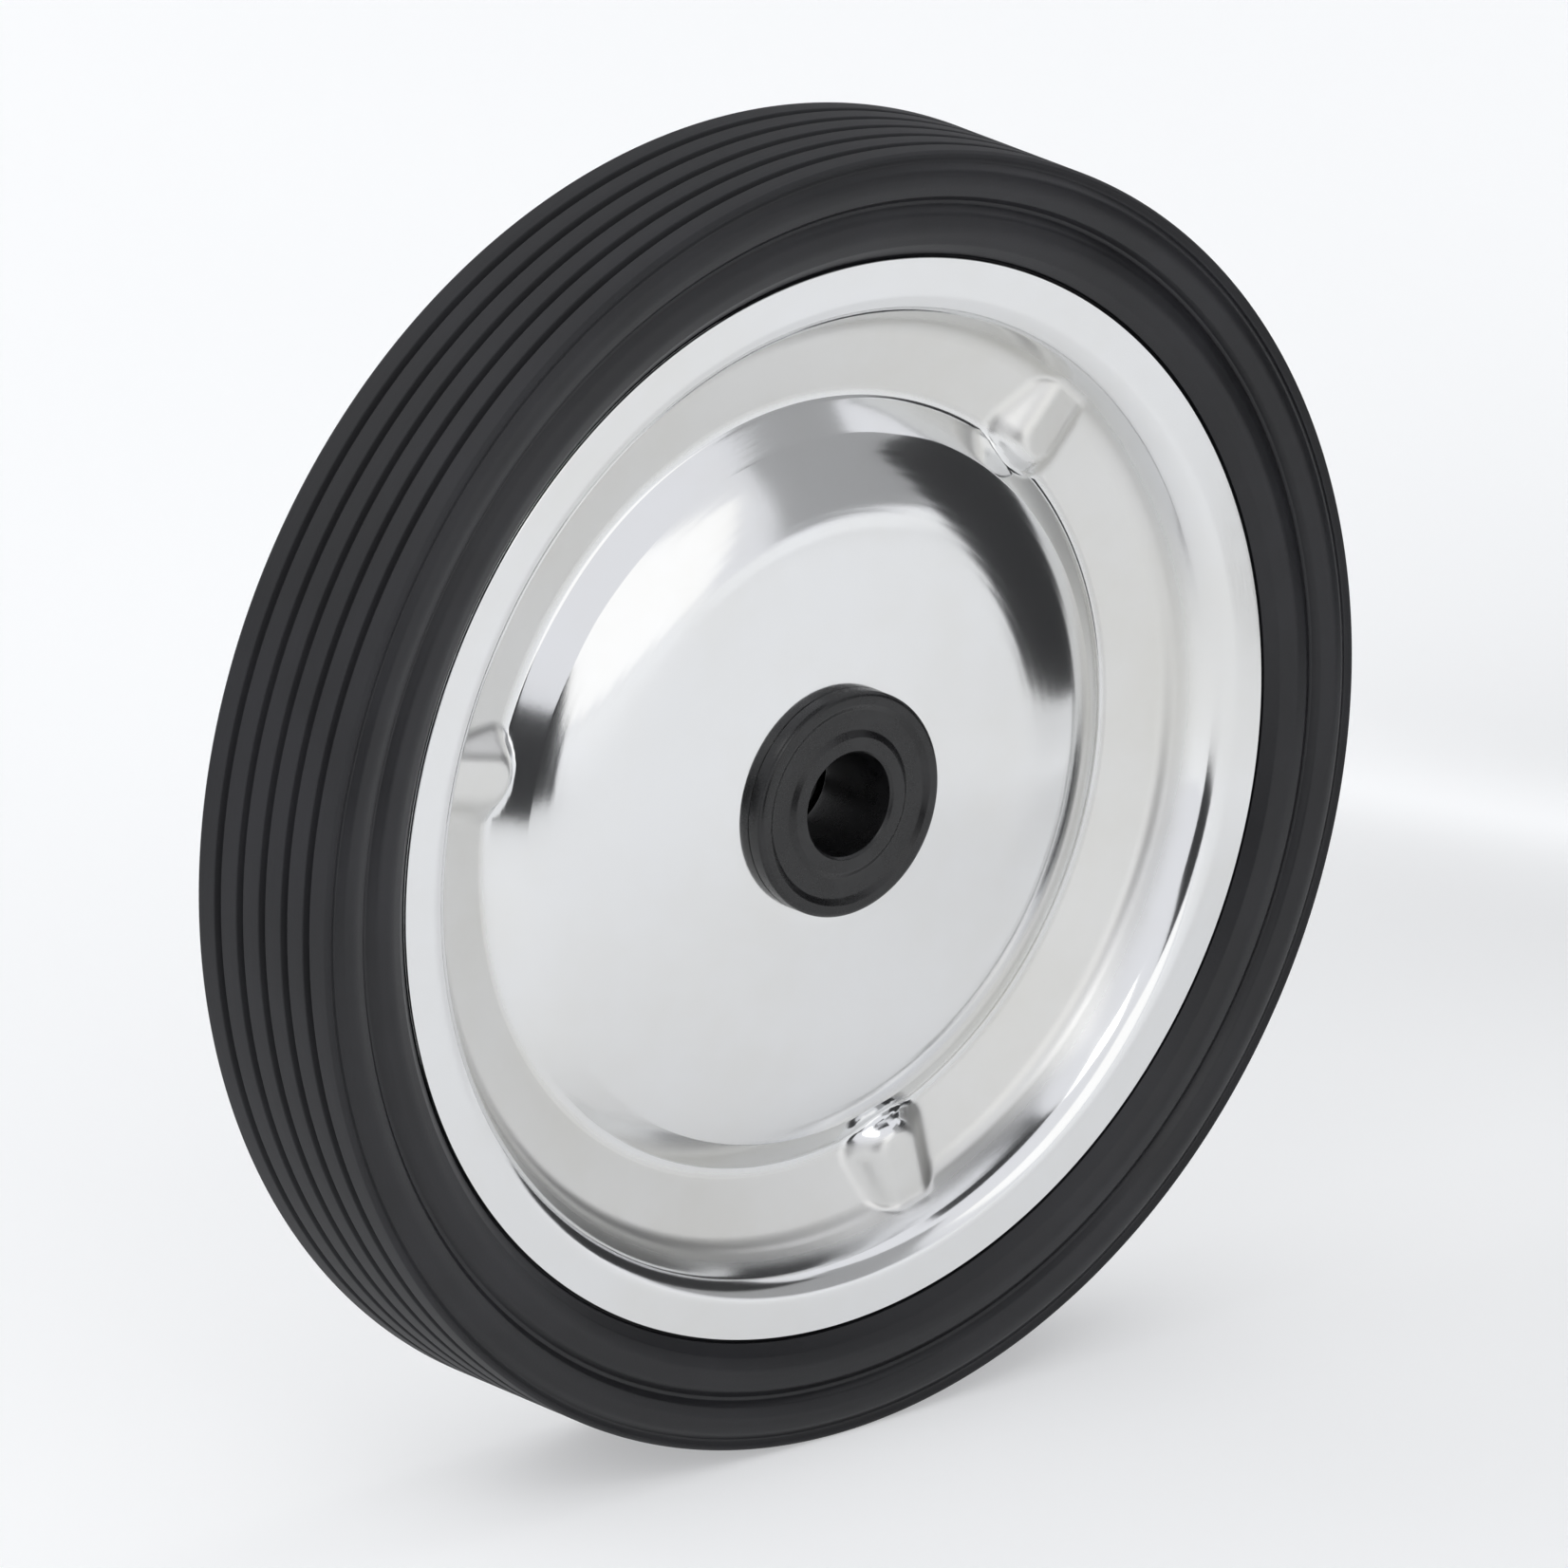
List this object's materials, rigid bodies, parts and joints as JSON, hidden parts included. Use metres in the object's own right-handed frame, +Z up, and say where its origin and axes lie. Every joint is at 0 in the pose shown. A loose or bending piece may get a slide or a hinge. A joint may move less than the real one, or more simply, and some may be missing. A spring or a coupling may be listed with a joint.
{
  "type": "disc wheel",
  "caption": "Pressed-steel disc wheel with solid ribbed rubber tyre, radial stiffening ribs and flanged plain bushes around a through bore.",
  "frame": {"origin": "wheel centre, on the axle line at the mid-plane of the tyre", "axes": "+Y along the axle toward the rear face, -Y toward the front face, +Z up, wheel spins about Y"},
  "size_m": [0.25, 0.04, 0.25],
  "materials": {
    "tyre": "moulded rubber, satin",
    "plated_steel": "bright zinc-chrome plated pressed sheet",
    "tube_steel": "plain drawn tube",
    "bush_plastic": "moulded satin black"
  },
  "bodies": {
    "root": {"tyre": "tyre", "front_disc": "plated_steel", "rear_disc": "plated_steel", "hub_tube": "tube_steel", "front_bush": "bush_plastic", "rear_bush": "bush_plastic"}
  },
  "joints": []
}
